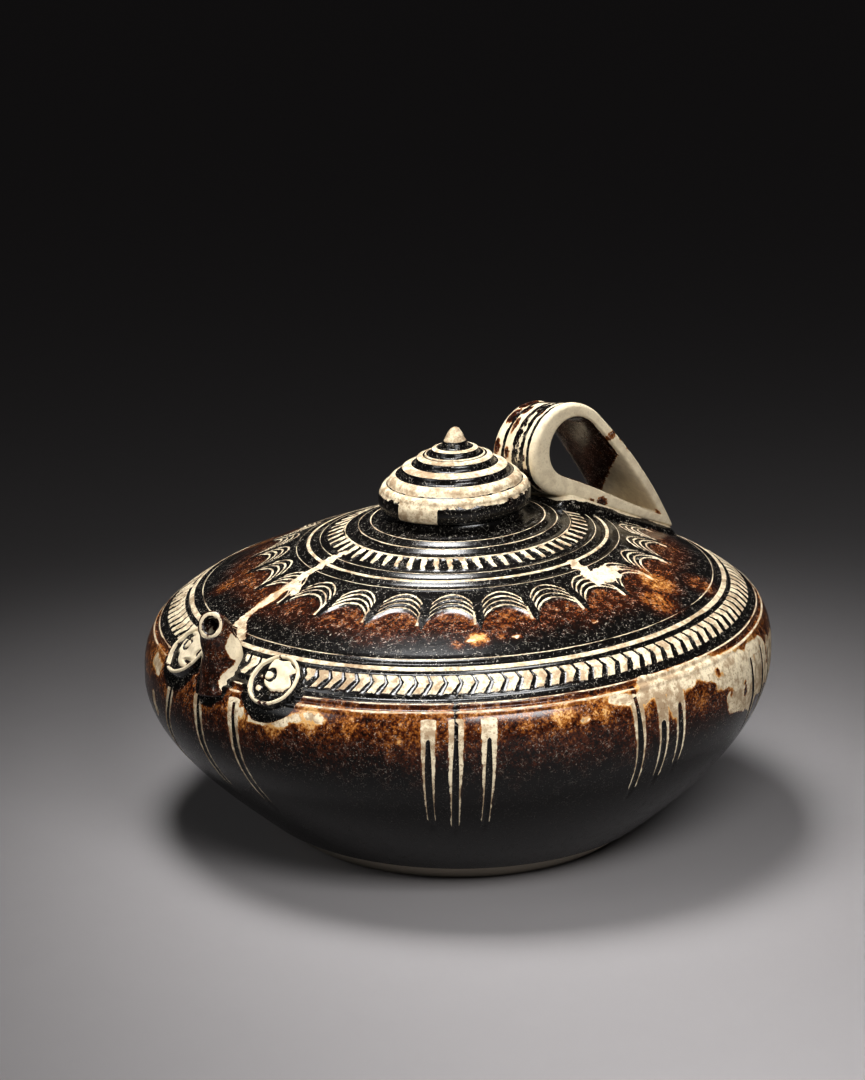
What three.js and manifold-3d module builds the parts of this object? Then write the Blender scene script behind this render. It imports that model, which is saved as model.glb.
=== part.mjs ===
// Lenticular jar with a strap handle, a small spout and a stepped conical lid: dark glazed stoneware.
// Millimetres, +Z up. The origin is the centre of the flat base. The spout points to -X, the handle to +X.
import * as THREE from "three";
import { mergeVertices } from "three/addons/utils/BufferGeometryUtils.js";
import Module from "manifold-3d";

const wasm = await Module();
wasm.setup();

// Body, outside
const bodyRadius = 115;
const widestHeight = 63.3;
const baseRadius = 63.9;
const neckRootRadius = 28;
const neckRootHeight = 116.75;
const glazeLineHeight = 7.2;
const footStep = 0.6;

// Shape of the two long curves, as the reach of their tangents
const lowerReach = 25.3;
const lowerSlope = 0.816;
const lowerPull = 20.2;
const shoulderPull = 16.5;
const shoulderReach = 88.7;
const shoulderSlope = 0.317;

// Neck and mouth
const neckRadius = 24;
const neckHeight = 3.45;
const neckTop = neckRootHeight + neckHeight;
const neckFlare = 1;
const mouthRadius = 17;
const lipRound = 1;

// Body, inside
const wall = 6;
const floorThickness = 9;

// The jar warped in the kiln: it stands square and its upper part leans
const leanSlope = 0.0417;
const leanAzimuth = -39.5;
const leanFrom = 5.5;
const leanTo = 77;

// Lid
const lidGap = 0.3;
const lidRimRadius = 28;
const lidRimHeight = 3.5;
const lidUnderRadius = 26.5;
const lidTipHeight = 29.1;
const lidHollowHeight = 17;
const lidHollowTop = 3;
const lidHollowFoot = 3;
const flangeGap = 0.6;
const flangeDepth = 5;
const flangeWall = 3.5;
const flangeDraft = 0.6;
const lidShift = 1.1;

// Strap handle: one closed loop in the plane y = 0, wider towards its foot on the shoulder
const handleFoot = 92;
const handleFootRise = 2;
const loopRadial = 43.3;
const loopRise = 21.15;
const loopRadius = 17.2;
const holeRadial = 46.6;
const holeRise = 21.9;
const holeRadius = 10.8;
const holeTip = 82;
const holeTipRise = 6.2;
const strapCrown = 2.2;
const holeCrown = 0.8;
const strapTilt = 0.16;
const strapHalfTop = 12;
const strapHalfFoot = 19;
const strapWidens = 32;
const strapWidest = 84;
const strapEdge = 1.5;

// Clay pad that the strap is luted to
const padSpread = 5;
const padSink = 2.5;
const padStart = 36;

// Spout: a short tube that rises from the shoulder's edge and bends out to its mouth
const spoutInset = 9;
const spoutSink = 9.5;
const mouthInset = 2.3;
const mouthRise = 17.8;
const spoutTurn = 25.5;
const spoutTilt = 22;
const spoutBend = 8;
const spoutRootRadius = 9.5;
const spoutMouthRadius = 4.7;
const spoutBore = 5.7;
const boreDepth = 16;

// Two round bosses beside the spout
const discAngles = [-12.3, 14.5];
const discInset = 7.4;
const discTilt = 47;
const discRadius = 10.2;
const discProud = 3.5;
const discSink = 5;
const discRim = 1.9;
const discField = 1.1;
const discRound = 0.6;
const eyeRadius = 5.4;
const eyeSlope = 1.6;
const eyeBelow = 0.2;

// Fineness
const bodySides = 72;
const lowerRows = 6;
const cavitySides = 30;
const lidSides = 44;
const discSides = 18;
const spoutSides = 18;
const spoutRows = 6;
const boreSides = 10;
const padRows = 6;
const strapRows = 6;

// Thrown rings near the widest ring: distance in from it, and height over the surface
const edgeRings = [
  [2.4, 0],
  [3.7, 0.4],
  [4.7, -0.4],
  [5.7, 0.5],
  [7.3, -0.5],
  [8.8, 0],
  [15.3, 0],
  [16.1, 0.4],
  [19, 0.4],
  [20.4, -0.5],
  [21.7, 0.4],
  [22.8, 0],
  [34, 0],
];

// Thrown rings round the neck: distance out from its root, and height over the surface
const neckRings = [
  [32.4, -0.4],
  [30.9, 0.4],
  [29.2, -0.5],
  [27.8, 0.4],
  [25.2, 0.4],
  [23.8, -0.5],
  [22.3, 0.4],
  [20.8, -0.3],
  [19.5, 0],
  [12.6, 0],
  [10.5, -0.5],
  [8.3, 0.5],
  [6, -0.5],
  [3.8, 0.4],
  [2.3, -0.3],
];

// Scalloped step between the plain shoulder and the combed band, placed out from the neck's root
const scallops = 24;
const scallopFootOut = 45;
const scallopCrownOut = 35;
const scallopStep = 0.5;
const scallopStepWidth = 0.8;

// Lid rings from the rim up: radius, and height over the lid's underside
const lidRings = [
  [27.1, 7],
  [25.6, 8.6],
  [24.3, 10.1],
  [21.6, 12.3],
  [18.9, 14.4],
  [15.4, 16.5],
  [12.8, 18],
  [9.3, 20],
  [6.6, 21.6],
  [5, 23.1],
  [4.2, 23.8],
  [3.4, 26.1],
  [2.2, 28],
];
const lidGroove = 0.7;

const radians = THREE.MathUtils.degToRad;

function solidFrom(geometry) {
  const plain = geometry.index ? geometry.toNonIndexed() : geometry.clone();
  const bare = new THREE.BufferGeometry();
  bare.setAttribute("position", plain.getAttribute("position"));
  const merged = mergeVertices(bare, 1e-4);
  const mesh = new wasm.Mesh({
    numProp: 3,
    vertProperties: merged.attributes.position.array,
    triVerts: new Uint32Array(merged.index.array),
  });
  return new wasm.Manifold(mesh);
}

function geometryFrom(solid) {
  const made = solid.getMesh();
  const geometry = new THREE.BufferGeometry();
  geometry.setAttribute("position", new THREE.BufferAttribute(made.vertProperties, 3));
  geometry.setIndex(new THREE.BufferAttribute(made.triVerts, 1));
  const faceted = geometry.toNonIndexed();
  faceted.computeVertexNormals();
  return faceted;
}

// A turned solid about +Z from [radius, height] pairs that run counterclockwise round the section
function turned(profile, sides) {
  const points = profile.map(([r, z]) => new THREE.Vector2(r, z));
  const geometry = new THREE.LatheGeometry(points, sides);
  geometry.rotateX(Math.PI / 2);
  return geometry;
}

// The outside of the body: below and above its widest ring
const lowerCurve = new THREE.CubicBezierCurve(
  new THREE.Vector2(baseRadius, 0),
  new THREE.Vector2(baseRadius + lowerReach, lowerReach * lowerSlope),
  new THREE.Vector2(bodyRadius, widestHeight - lowerPull),
  new THREE.Vector2(bodyRadius, widestHeight),
);
const shoulderCurve = new THREE.CubicBezierCurve(
  new THREE.Vector2(bodyRadius, widestHeight),
  new THREE.Vector2(bodyRadius, widestHeight + shoulderPull),
  new THREE.Vector2(neckRootRadius + shoulderReach, neckRootHeight - shoulderReach * shoulderSlope),
  new THREE.Vector2(neckRootRadius, neckRootHeight),
);

// The parameter of a curve where one of its coordinates, which only grows or only falls, has a value
function parameterAt(curve, axis, value) {
  let low = 0;
  let high = 1;
  const rising = curve.getPoint(1)[axis] > curve.getPoint(0)[axis];
  for (let i = 0; i < 40; i += 1) {
    const middle = (low + high) / 2;
    const below = curve.getPoint(middle)[axis] < value;
    if (below === rising) low = middle;
    else high = middle;
  }
  return (low + high) / 2;
}

const scallopFoot = neckRootRadius + scallopFootOut;
const scallopCrown = neckRootRadius + scallopCrownOut;

function shoulderHeight(radius) {
  return shoulderCurve.getPoint(parameterAt(shoulderCurve, "x", radius)).y;
}

// A point on the shoulder at a radius, moved outwards along the surface's normal
function onShoulder(radius, rise) {
  const t = parameterAt(shoulderCurve, "x", radius);
  const point = shoulderCurve.getPoint(t);
  const tangent = shoulderCurve.getTangent(t);
  return [point.x + tangent.y * rise, point.y - tangent.x * rise];
}

function bodyProfile() {
  const glazeRadius = lowerCurve.getPoint(parameterAt(lowerCurve, "y", glazeLineHeight)).x;
  const profile = [
    [0, 0],
    [baseRadius - footStep, 0],
    [glazeRadius - footStep, glazeLineHeight],
    [glazeRadius + footStep / 2, glazeLineHeight + footStep],
  ];
  const start = parameterAt(lowerCurve, "y", glazeLineHeight + footStep);
  for (let i = 1; i <= lowerRows; i += 1) {
    const point = lowerCurve.getPoint(THREE.MathUtils.lerp(start, 1, i / lowerRows));
    profile.push([point.x, point.y]);
  }
  const belt = parameterAt(shoulderCurve, "x", bodyRadius - edgeRings[0][0]);
  const middle = shoulderCurve.getPoint(belt * 0.6);
  profile.push([middle.x, middle.y]);
  for (const [inset, rise] of edgeRings) profile.push(onShoulder(bodyRadius - inset, rise));
  profile.push(onShoulder(scallopFoot + scallopStepWidth, 0));
  profile.push(onShoulder(scallopFoot, scallopStep));
  for (const [outset, rise] of neckRings) profile.push(onShoulder(neckRootRadius + outset, rise));
  profile.push([neckRadius + neckFlare, neckRootHeight + neckFlare]);
  profile.push([neckRadius, neckTop - lipRound]);
  profile.push([neckRadius - lipRound, neckTop]);
  profile.push([0, neckTop]);
  return profile;
}

// Draws the two rows of the scalloped step in to arcs whose crowns point at the neck
function scallopRows(geometry) {
  const position = geometry.getAttribute("position");
  const outer = onShoulder(scallopFoot + scallopStepWidth, 0);
  const inner = onShoulder(scallopFoot, scallopStep);
  for (let i = 0; i < position.count; i += 1) {
    const x = position.getX(i);
    const y = position.getY(i);
    const radius = Math.hypot(x, y);
    const height = position.getZ(i);
    const isOuter = Math.abs(radius - outer[0]) < 0.01 && Math.abs(height - outer[1]) < 0.01;
    const isInner = Math.abs(radius - inner[0]) < 0.01 && Math.abs(height - inner[1]) < 0.01;
    if (!isOuter && !isInner) continue;
    const share = ((Math.atan2(y, x) / (2 * Math.PI)) * scallops + scallops + 0.5) % 1;
    const crown = Math.sqrt(Math.max(0, 1 - (2 * share - 1) ** 2));
    const edge = scallopFoot - (scallopFoot - scallopCrown) * crown;
    const [r, z] = isInner ? onShoulder(edge, scallopStep) : onShoulder(edge + scallopStepWidth, 0);
    position.setXYZ(i, (x / radius) * r, (y / radius) * r, z);
  }
  return geometry;
}

// The hollow: the outside moved in by the wall, a flat floor and the mouth
function cavityProfile() {
  const profile = [[0, floorThickness]];
  const steps = 6;
  const start = parameterAt(lowerCurve, "y", floorThickness);
  for (const [curve, from, to] of [
    [lowerCurve, start, 1],
    [shoulderCurve, 0, 1],
  ]) {
    for (let i = 0; i <= steps; i += 1) {
      const t = THREE.MathUtils.lerp(from, to, i / steps);
      const point = curve.getPoint(t);
      const tangent = curve.getTangent(t);
      const radius = point.x - tangent.y * wall;
      const height = Math.max(point.y + tangent.x * wall, floorThickness);
      const last = profile[profile.length - 1];
      if (radius < mouthRadius) break;
      if (Math.hypot(radius - last[0], height - last[1]) > wall / 2) profile.push([radius, height]);
    }
  }
  profile.push([mouthRadius, neckRootHeight - wall / 2]);
  profile.push([mouthRadius, neckTop + wall]);
  profile.push([0, neckTop + wall]);
  return profile;
}

// Half the strap's width at a distance from the axis
function strapHalf(radial) {
  const share = THREE.MathUtils.smoothstep(radial, strapWidens, strapWidest);
  return THREE.MathUtils.lerp(strapHalfTop, strapHalfFoot, share);
}

// How far the strap dips across its width: most round the loop, nothing at its foot
function strapDip(radial, across) {
  return strapTilt * across * (1 - THREE.MathUtils.smoothstep(radial, loopRadial, strapWidest));
}

// A pointed loop: a round end, a crowned upper side and a straight lower side that meet at a tip
function loopPath(path, centre, radius, tip, crown) {
  const reach = centre.distanceTo(tip);
  const toTip = Math.atan2(tip.y - centre.y, tip.x - centre.x);
  const spread = Math.acos(radius / reach);
  const upper = toTip + spread;
  const lower = toTip - spread + 2 * Math.PI;
  const start = new THREE.Vector2(Math.cos(upper), Math.sin(upper)).multiplyScalar(radius).add(centre);
  const middle = start.clone().add(tip).multiplyScalar(0.5);
  const outwards = new THREE.Vector2(Math.cos(upper), Math.sin(upper)).multiplyScalar(2 * crown);
  middle.add(outwards);
  path.moveTo(tip.x, tip.y);
  path.quadraticCurveTo(middle.x, middle.y, start.x, start.y);
  path.absarc(centre.x, centre.y, radius, upper, lower, false);
  path.lineTo(tip.x, tip.y);
  return path;
}

function handleGeometry() {
  const tip = new THREE.Vector2(handleFoot, shoulderHeight(handleFoot) + handleFootRise);
  const centre = new THREE.Vector2(loopRadial, shoulderHeight(loopRadial) + loopRise);
  const shape = loopPath(new THREE.Shape(), centre, loopRadius, tip, strapCrown);
  const holeEnd = new THREE.Vector2(holeTip, shoulderHeight(holeTip) + holeTipRise);
  const holeCentre = new THREE.Vector2(holeRadial, shoulderHeight(holeRadial) + holeRise);
  shape.holes.push(loopPath(new THREE.Path(), holeCentre, holeRadius, holeEnd, holeCrown));
  const geometry = new THREE.ExtrudeGeometry(shape, {
    depth: 2 * (strapHalfTop - strapEdge),
    bevelEnabled: true,
    bevelThickness: strapEdge,
    bevelSize: strapEdge,
    bevelOffset: -strapEdge,
    bevelSegments: 1,
    curveSegments: strapRows,
    steps: 1,
  });
  geometry.translate(0, 0, strapEdge - strapHalfTop);
  geometry.rotateX(Math.PI / 2);
  const position = geometry.getAttribute("position");
  for (let i = 0; i < position.count; i += 1) {
    const radial = position.getX(i);
    const across = position.getY(i);
    position.setY(i, across * (strapHalf(radial) / strapHalfTop));
    position.setZ(i, position.getZ(i) - strapDip(radial, across));
  }
  return geometry;
}

// A wedge of clay between the shoulder and the strap's lower side, wider at its foot
function padGeometry() {
  const geometry = new THREE.BoxGeometry(1, 1, 1, padRows, padRows, 1);
  const position = geometry.getAttribute("position");
  const tip = new THREE.Vector2(handleFoot, shoulderHeight(handleFoot) + handleFootRise);
  const loopFoot = shoulderHeight(loopRadial) + loopRise - loopRadius;
  for (let i = 0; i < position.count; i += 1) {
    const top = position.getZ(i) > 0;
    const radial = THREE.MathUtils.lerp(padStart, handleFoot - strapEdge, position.getX(i) + 0.5);
    const half = strapHalf(radial) + (top ? -strapEdge : padSpread);
    const y = position.getY(i) * 2 * half;
    const share = (radial - loopRadial) / (handleFoot - loopRadial);
    const dip = strapDip(radial, y * (strapHalfTop / strapHalf(radial)));
    const underside = THREE.MathUtils.lerp(loopFoot, tip.y, Math.max(share, 0)) + strapEdge - dip;
    const ground = shoulderHeight(Math.min(Math.hypot(radial, y), bodyRadius - wall)) - padSink;
    position.setXYZ(i, radial, y, top ? underside : ground);
  }
  return geometry;
}

// Places a solid made about +Z on the body's side at an angle, tilted up from the horizontal
function mounted(geometry, angle, radial, height, elevation) {
  geometry.rotateY(radians(90 - elevation));
  geometry.translate(radial, 0, height);
  geometry.rotateZ(radians(angle));
  return geometry;
}

// A tube bent along a curve, with a radius for each share of its length
function bentTube(curve, radiusAt, sides) {
  const geometry = new THREE.CylinderGeometry(1, 1, 1, sides, spoutRows);
  const position = geometry.getAttribute("position");
  for (let i = 0; i < position.count; i += 1) {
    const share = position.getY(i) + 0.5;
    const along = curve.getTangent(share);
    const across = new THREE.Vector3(0, 1, 0).cross(along).normalize();
    const side = along.clone().cross(across);
    const point = curve.getPoint(share);
    point.addScaledVector(across, position.getX(i) * radiusAt(share));
    point.addScaledVector(side, -position.getZ(i) * radiusAt(share));
    position.setXYZ(i, point.x, point.y, point.z);
  }
  return solidFrom(geometry);
}

// The way that the spout's mouth faces
function mouthNormal() {
  const normal = new THREE.Vector3(Math.cos(radians(spoutTilt)), 0, Math.sin(radians(spoutTilt)));
  return normal.applyAxisAngle(new THREE.Vector3(0, 0, 1), Math.PI + radians(spoutTurn));
}

const spoutHeight = shoulderHeight(bodyRadius - spoutInset);
const spoutRoot = new THREE.Vector3(-(bodyRadius - spoutInset), 0, spoutHeight - spoutSink);
const spoutMouth = new THREE.Vector3(-(bodyRadius - mouthInset), 0, spoutHeight + mouthRise);

function spoutSolid() {
  const elbow = spoutMouth.clone().addScaledVector(mouthNormal(), -spoutBend);
  const curve = new THREE.QuadraticBezierCurve3(spoutRoot, elbow, spoutMouth);
  const radiusAt = (share) => THREE.MathUtils.lerp(spoutRootRadius, spoutMouthRadius, share ** 0.8);
  return bentTube(curve, radiusAt, spoutSides);
}

function boreSolid() {
  const elbow = spoutMouth.clone().addScaledVector(mouthNormal(), -spoutBend);
  const outside = spoutMouth.clone().addScaledVector(mouthNormal(), 1);
  const inside = spoutRoot.clone().add(new THREE.Vector3(boreDepth, 0, -1));
  const curve = new THREE.QuadraticBezierCurve3(inside, elbow, outside);
  return bentTube(curve, () => spoutBore / 2, boreSides);
}

function discSolid(angle) {
  const disc = turned(
    [
      [0, -discSink],
      [discRadius, -discSink],
      [discRadius, discProud - discRound],
      [discRadius - discRim / 2, discProud],
      [discRadius - discRim, discProud - discField],
      [eyeRadius, discProud - discField],
      [eyeRadius - eyeSlope, discProud - eyeBelow],
      [0, discProud - eyeBelow],
    ],
    discSides,
  );
  const radial = bodyRadius - discInset;
  return solidFrom(mounted(disc, angle, radial, shoulderHeight(radial), discTilt));
}

// The kiln warp, which is nothing at the base and whole above the widest ring
function lean(geometry) {
  const position = geometry.getAttribute("position");
  const cosine = Math.cos(radians(leanAzimuth));
  const sine = Math.sin(radians(leanAzimuth));
  for (let i = 0; i < position.count; i += 1) {
    const share = THREE.MathUtils.smoothstep(position.getZ(i), leanFrom, leanTo);
    const across = position.getX(i) * cosine + position.getY(i) * sine;
    position.setZ(i, position.getZ(i) + leanSlope * across * share);
  }
  geometry.computeVertexNormals();
  return geometry;
}

function bodyGeometry() {
  let body = solidFrom(scallopRows(turned(bodyProfile(), bodySides)));
  body = body.add(solidFrom(padGeometry()));
  body = body.add(solidFrom(handleGeometry()));
  body = body.add(spoutSolid());
  for (const angle of discAngles) body = body.add(discSolid(180 + angle));
  body = body.subtract(solidFrom(turned(cavityProfile(), cavitySides)));
  body = body.subtract(boreSolid());
  return lean(geometryFrom(body));
}

function lidGeometry() {
  const seat = neckTop + lidGap;
  const flange = mouthRadius - lidShift - flangeGap;
  const profile = [
    [0, seat + lidHollowHeight],
    [lidHollowTop, seat + lidHollowHeight],
    [flange - flangeWall, seat + lidHollowFoot],
    [flange - flangeWall, seat - flangeDepth],
    [flange - flangeDraft, seat - flangeDepth],
    [flange, seat],
    [lidUnderRadius, seat],
    [lidRimRadius, seat + lidRimHeight],
  ];
  lidRings.forEach(([radius, height], index) => {
    const isGroove = index % 2 === 1 && index < 9;
    profile.push([isGroove ? radius - lidGroove : radius, seat + height]);
  });
  profile.push([0, seat + lidTipHeight]);
  return solidFrom(turned(profile, lidSides));
}

function lidSolid() {
  const geometry = geometryFrom(lidGeometry());
  const angle = radians(leanAzimuth);
  geometry.translate(-lidShift * Math.cos(angle), -lidShift * Math.sin(angle), 0);
  return lean(geometry);
}

const glaze = new THREE.MeshStandardMaterial({ color: 0x2a1710, roughness: 0.22, metalness: 0 });
const lidGlaze = new THREE.MeshStandardMaterial({ color: 0xb9a283, roughness: 0.5, metalness: 0 });

const jarBody = new THREE.Mesh(bodyGeometry(), glaze);
jarBody.name = "jar_body";

const lid = new THREE.Mesh(lidSolid(), lidGlaze);
lid.name = "lid";

const group = new THREE.Group();
group.add(jarBody);
group.add(lid);

export default group;
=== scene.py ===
import math

import bpy
import numpy as np
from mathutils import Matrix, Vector


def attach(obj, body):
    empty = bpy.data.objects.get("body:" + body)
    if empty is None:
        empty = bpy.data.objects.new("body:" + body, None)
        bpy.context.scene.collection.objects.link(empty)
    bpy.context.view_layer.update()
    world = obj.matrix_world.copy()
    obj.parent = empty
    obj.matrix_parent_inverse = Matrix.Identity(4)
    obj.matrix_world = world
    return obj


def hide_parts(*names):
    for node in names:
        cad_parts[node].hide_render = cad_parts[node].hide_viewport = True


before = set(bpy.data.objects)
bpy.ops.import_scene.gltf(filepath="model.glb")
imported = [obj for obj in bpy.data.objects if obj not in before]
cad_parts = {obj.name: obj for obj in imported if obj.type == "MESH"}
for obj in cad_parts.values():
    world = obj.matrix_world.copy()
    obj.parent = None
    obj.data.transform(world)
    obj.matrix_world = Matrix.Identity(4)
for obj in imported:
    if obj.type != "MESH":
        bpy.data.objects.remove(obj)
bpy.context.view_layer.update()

print("frame loaded")

# All shapes are worked out in millimetres and turned into metres when a mesh is made.
# Turns are degrees round the jar, counted from the right-hand side as the camera sees it.
mm = 0.001
viewTurn = -39.5

camera = {
    "place": (-0.7423, -0.8860, 0.4533), "forward": (0.6093, 0.7391, -0.28705), "lens": 110, "sensor": 36,
}

jar = {
    "widest": 115.0, "base": 63.9, "neckRoot": (28.0, 116.75),
    "lower": [(63.9, 0), (89.2, 20.64), (115, 43.1), (115, 63.3)],
    "shoulder": [(115, 63.3), (115, 79.8), (116.7, 88.63), (28, 116.75)],
    "glazeLine": 7.2, "footStep": 0.6, "footRound": 0.7, "wall": 6.0, "floor": 9.0,
    "neck": [(26.2, 117.15), (25, 117.75), (24.3, 118.5), (24, 119.2), (23.7, 119.9), (23, 120.2)],
    "mouth": [(22.0, 120.2), (18.0, 120.2), (17.3, 119.9), (17.0, 119.2), (17.0, 114.6)],
    "leanSlope": 0.0417, "leanFrom": 5.5, "leanTo": 77.0,
}

# Raised lines that are worn to the clay and the grooves between them: radius, half width and height
rings = {
    "lines": [(111.3, 0.42, 0.35), (109.3, 0.36, 0.35), (97.4, 1.0, 0.4), (93.3, 0.3, 0.2),
              (58.9, 0.24, 0.2), (54.6, 0.75, 0.4), (50.3, 0.28, 0.25), (36.3, 0.34, 0.35),
              (31.8, 0.36, 0.35), (41.2, 0.42, 0.3)],
    "grooves": [(107.5, 0.9, 0.45), (94.9, 0.7, 0.4), (52.4, 0.9, 0.35), (56.8, 0.9, 0.35), (38.7, 1.4, 0.4),
                (34.0, 1.2, 0.4), (29.6, 1.0, 0.3), (110.3, 0.4, 0.3), (99.2, 0.35, 0.25), (48.6, 0.7, 0.3)],
    "wobble": 0.25,
}
chevrons = {
    "count": 126, "inner": 99.7, "outer": 106.3, "middle": 103, "apex": 0.4, "point": 0.3, "sweep": 0.72,
    "thin": 0.085, "thick": 0.21, "depth": 0.4,
}
strokes = {"count": 58, "inner": 41.5, "outer": 47.6, "middle": 44, "half": 0.23, "curve": 0.2, "depth": 0.35}
scallops = {
    "count": 24, "phase": 4.1, "crown": 61.8, "step": 2.35, "lines": 4, "rise": 12.5, "pull": 0.97,
    "half": 0.25, "height": 0.3, "under": 8.2, "underDepth": 0.35, "fade": 86.0, "reach": 0.8,
    "halfWidth": 8.5, "tick": 0.83, "tickHalf": 0.3, "tickRadius": 74.2, "tickLength": 3.0,
}

# Upright cut lines in the glaze: turn and height at the top, turn and height at the foot, and the
# height from which the cut is filled with dark glaze
cuts = {
    "lines": [(208.0, 77, 203.0, 31, 76), (216.8, 78, 220.5, 34, 76), (226.6, 77, 230.3, 31, 76),
              (264.6, 77, 264.8, 33, 71), (269.4, 77, 269.2, 30, 84), (275.0, 77, 274.9, 32, 71),
              (302.0, 78, 303.8, 39, 80), (307.2, 77, 308.6, 42, 66), (311.2, 77, 312.4, 46, 71),
              (335.0, 74, 336.8, 46, 73), (341.0, 74, 342.5, 44, 74), (346.5, 72, 347.5, 46, 70),
              (18.0, 76, 19.0, 38, 74), (24.0, 78, 24.4, 35, 80), (30.0, 76, 31.0, 37, 70),
              (62.0, 75, 61.0, 36, 72), (67.5, 78, 68.0, 33, 80), (73.0, 76, 74.0, 36, 73),
              (103.0, 76, 104.0, 38, 72), (109.0, 77, 109.5, 34, 78), (114.0, 77, 115.5, 36, 70),
              (150.0, 76, 149.0, 36, 73), (155.5, 78, 156.0, 33, 80), (161.0, 76, 162.0, 38, 72)],
    "half": 0.8, "depth": 0.45, "margin": 2.6, "fillStop": 1.5,   # the fill stops short of the foot
}

# Places worn to the clay: turn, radius and height of both ends in mm, and half width
worn = [
    (210.8, 91.5, 93.1, 209.2, 68.7, 102.6, 1.9), (209.2, 68.7, 102.6, 208.0, 52.0, 109.2, 2.1),
    (211.0, 68.7, 102.6, 214.5, 70.0, 102.1, 2.4), (206.5, 54.0, 108.6, 209.0, 46.4, 110.8, 1.2),
    (211.3, 90.0, 94.0, 217.2, 95.0, 91.3, 1.7), (205.0, 98.0, 89.8, 212.0, 95.0, 91.4, 1.6),
    (317.0, 54.4, 108.4, 318.2, 60.0, 106.3, 2.2), (317.0, 63.5, 104.8, 325.0, 66.0, 103.6, 3.2),
    (316.5, 67.0, 103.2, 321.0, 68.5, 102.6, 1.8), (326.0, 63.0, 104.9, 329.5, 66.0, 103.6, 1.6),
    (299.5, 112.2, 77.2, 304.0, 113.1, 75.6, 1.7), (305.0, 111.6, 78.6, 313.0, 111.2, 79.2, 4.2),
    (314.0, 111.8, 78.2, 323.0, 112.3, 77.2, 4.6), (323.0, 113.2, 75.6, 331.0, 114.2, 72.6, 6.0),
    (331.0, 114.8, 70.6, 340.0, 114.8, 70.6, 7.5), (327.0, 115.0, 63.9, 335.0, 114.8, 59.9, 4.6),
    (338.0, 115.0, 65.0, 352.0, 115.0, 66.0, 7.0), (309.5, 113.4, 75.0, 310.5, 114.8, 68.5, 2.5),
    (291.3, 114.1, 73.4, 292.2, 114.1, 73.6, 1.0), (297.3, 111.9, 77.9, 298.3, 112.0, 77.8, 1.9),
    (274.2, 83.5, 96.9, 275.0, 83.6, 96.8, 1.0), (272.4, 85.0, 96.2, 273.2, 84.6, 96.4, 0.7),
    (283.0, 84.5, 96.4, 283.3, 84.6, 96.4, 0.6), (303.8, 84.5, 96.4, 304.4, 84.6, 96.4, 0.6),
    (231.0, 114.2, 72.6, 235.0, 114.3, 72.0, 1.2), (227.0, 113.4, 75.0, 229.0, 114.0, 73.5, 1.6),
    (238.5, 113.4, 74.8, 241.0, 113.0, 75.6, 1.2), (243.0, 112.6, 76.6, 246.0, 113.0, 76.0, 1.6),
    (236.5, 113.8, 73.8, 238.0, 114.0, 73.2, 1.6),
    (259.8, 114.9, 70.9, 260.3, 114.9, 70.9, 0.5), (196.0, 112.8, 76.4, 200.0, 113.5, 74.6, 2.4),
    (198.0, 114.9, 64.5, 200.0, 114.6, 58.0, 1.8), (62.0, 60.0, 106.2, 66.0, 72.0, 101.4, 2.4),
    (120.0, 112.0, 77.6, 131.0, 113.5, 74.8, 3.6), (88.0, 88.0, 94.8, 93.0, 92.0, 92.9, 1.8),
    (40.0, 113.0, 76.0, 47.0, 114.0, 73.0, 3.0), (172.0, 100.0, 88.8, 176.0, 104.0, 86.6, 2.0),
]

# Islands of glaze left on the worn ground, as above
kept = [
    (322.8, 112.9, 76.2, 323.4, 113.6, 74.6, 1.6), (316.8, 114.3, 72.9, 320.0, 114.6, 71.0, 3.4),
    (335.8, 114.0, 74.2, 336.2, 114.2, 73.4, 1.0), (340.3, 114.2, 73.4, 340.8, 114.7, 70.4, 0.9),
    (331.6, 114.9, 66.5, 332.0, 115.0, 63.0, 1.0), (344.0, 114.8, 71.0, 345.0, 115.0, 66.0, 1.2),
    (326.0, 114.9, 67.5, 326.4, 115.0, 66.0, 0.8),
]

# Places where the glaze pooled dark round the spout and the bosses: turn from the +X axis, radius and reach
pools = [(167.7, 108.6, 10.5), (194.5, 108.6, 10.5), (180.0, 110.5, 7.0), (180.0, 106.0, 7.0)]

# Places where the glaze ran thin and went amber: turn, radius, height, reach and strength
thinPlaces = [
    (243.0, 113.0, 75.6, 11, 0.62), (251.0, 113.6, 74.6, 12, 0.5), (259.0, 112.8, 75.2, 8, 0.45),
    (281.0, 112.9, 75.9, 9, 0.5), (288.0, 112.9, 76.0, 10, 0.62), (295.0, 113.4, 75.0, 10, 0.6),
    (274.5, 84.5, 96.4, 7, 0.66), (269.5, 86.5, 95.5, 5, 0.5), (280.0, 84.0, 96.6, 5, 0.4),
    (229.0, 114.0, 72.0, 8, 0.6), (236.0, 114.2, 72.0, 10, 0.62), (205.0, 114.0, 71.0, 9, 0.5),
    (325.0, 85.0, 96.2, 14, 0.5),
    (334.0, 78.0, 99.0, 16, 0.55), (345.0, 90.0, 94.0, 14, 0.45), (312.0, 78.0, 99.0, 10, 0.3),
    (317.0, 114.6, 70.0, 13, 0.45), (20.0, 112.0, 77.5, 16, 0.5), (70.0, 113.0, 76.0, 16, 0.5),
    (120.0, 113.5, 74.5, 18, 0.55), (165.0, 113.0, 76.0, 14, 0.5), (45.0, 86.0, 95.7, 15, 0.45),
    (100.0, 82.0, 97.5, 15, 0.5), (150.0, 86.0, 95.7, 15, 0.45), (187.0, 84.0, 96.6, 12, 0.4),
    (247.0, 84.0, 96.6, 10, 0.25), (233.0, 80.0, 98.2, 9, 0.25),
]


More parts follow.
